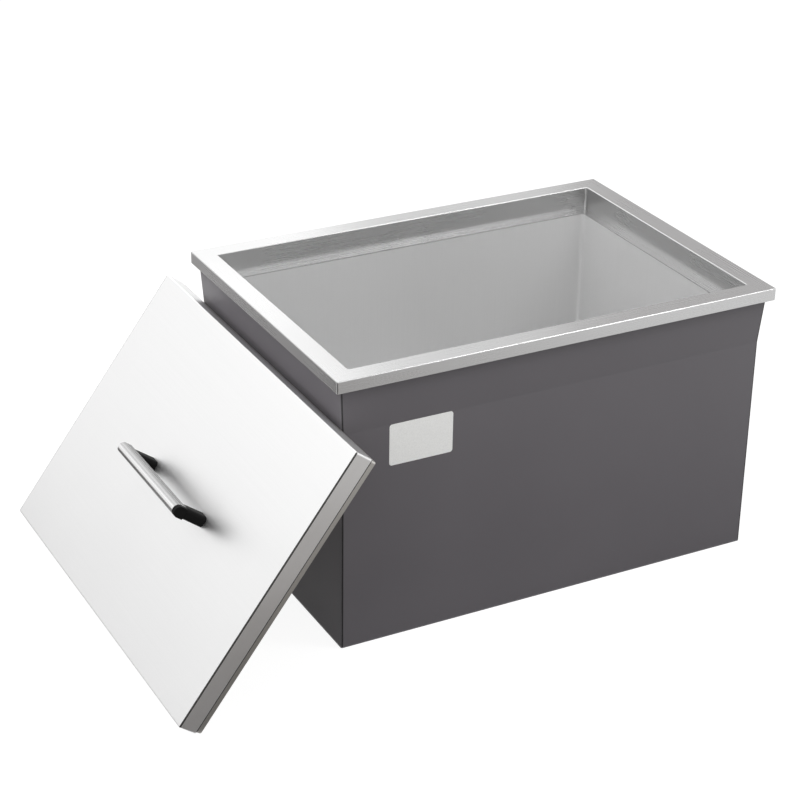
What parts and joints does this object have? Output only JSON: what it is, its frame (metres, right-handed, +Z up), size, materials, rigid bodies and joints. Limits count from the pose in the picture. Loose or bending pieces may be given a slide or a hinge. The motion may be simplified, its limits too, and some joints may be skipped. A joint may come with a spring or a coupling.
{
  "type": "drop-in cooler",
  "caption": "Rectangular insulated steel ice bin with a flanged rim that hangs in a worktop cut-out, a drain in its floor and a flat handled lid leaning beside it.",
  "frame": {"origin": "centre of the bin's flat underside, on the floor it stands on", "axes": "+Z up out of the bin's mouth, +X along the front to the right, +Y from the front to the back; the lid leans on the -X side"},
  "size_m": [0.7037, 0.462, 0.3048],
  "materials": {
    "rim_steel": "satin folded stainless sheet",
    "liner_steel": "brushed stainless sheet",
    "casing_paint": "dark grey satin paint",
    "foam": "closed-cell foam",
    "drain_plastic": "moulded",
    "plug_plastic": "moulded",
    "seal_rubber": "matte",
    "lid_steel": "fine brushed, nearly white in even light",
    "pan_steel": "satin stainless sheet",
    "plate_steel": "plain sheet",
    "grip_steel": "polished satin",
    "leg_plastic": "black satin moulding",
    "screw_steel": "plain"
  },
  "bodies": {
    "bin": {"rim_frame": "rim_steel", "inner_liner": "liner_steel", "outer_front": "casing_paint", "outer_back": "casing_paint", "outer_left": "casing_paint", "outer_right": "casing_paint", "bottom_panel": "casing_paint", "wall_foam": "foam", "base_foam": "foam", "drain_body": "drain_plastic", "drain_gasket": "seal_rubber", "drain_locknut": "drain_plastic"},
    "plug": {"drain_plug_body": "plug_plastic", "drain_plug_seal": "seal_rubber"},
    "lid": {"lid_skin": "lid_steel", "lid_pan": "pan_steel", "lid_foam": "foam", "lid_backing_plate": "plate_steel", "handle_grip": "grip_steel", "handle_leg_front": "leg_plastic", "handle_leg_rear": "leg_plastic", "handle_screws": "screw_steel", "handle_washers": "screw_steel"}
  },
  "joints": [
    {"name": "lid_lift", "type": "slide", "parent": "bin", "child": "lid", "axis": [-0.8028, 0, 0.5962], "range_m": [0, 0.3]},
    {"name": "plug_pull", "type": "slide", "parent": "bin", "child": "plug", "axis": [0, 0, 1], "range_m": [0, 0.3]}
  ]
}
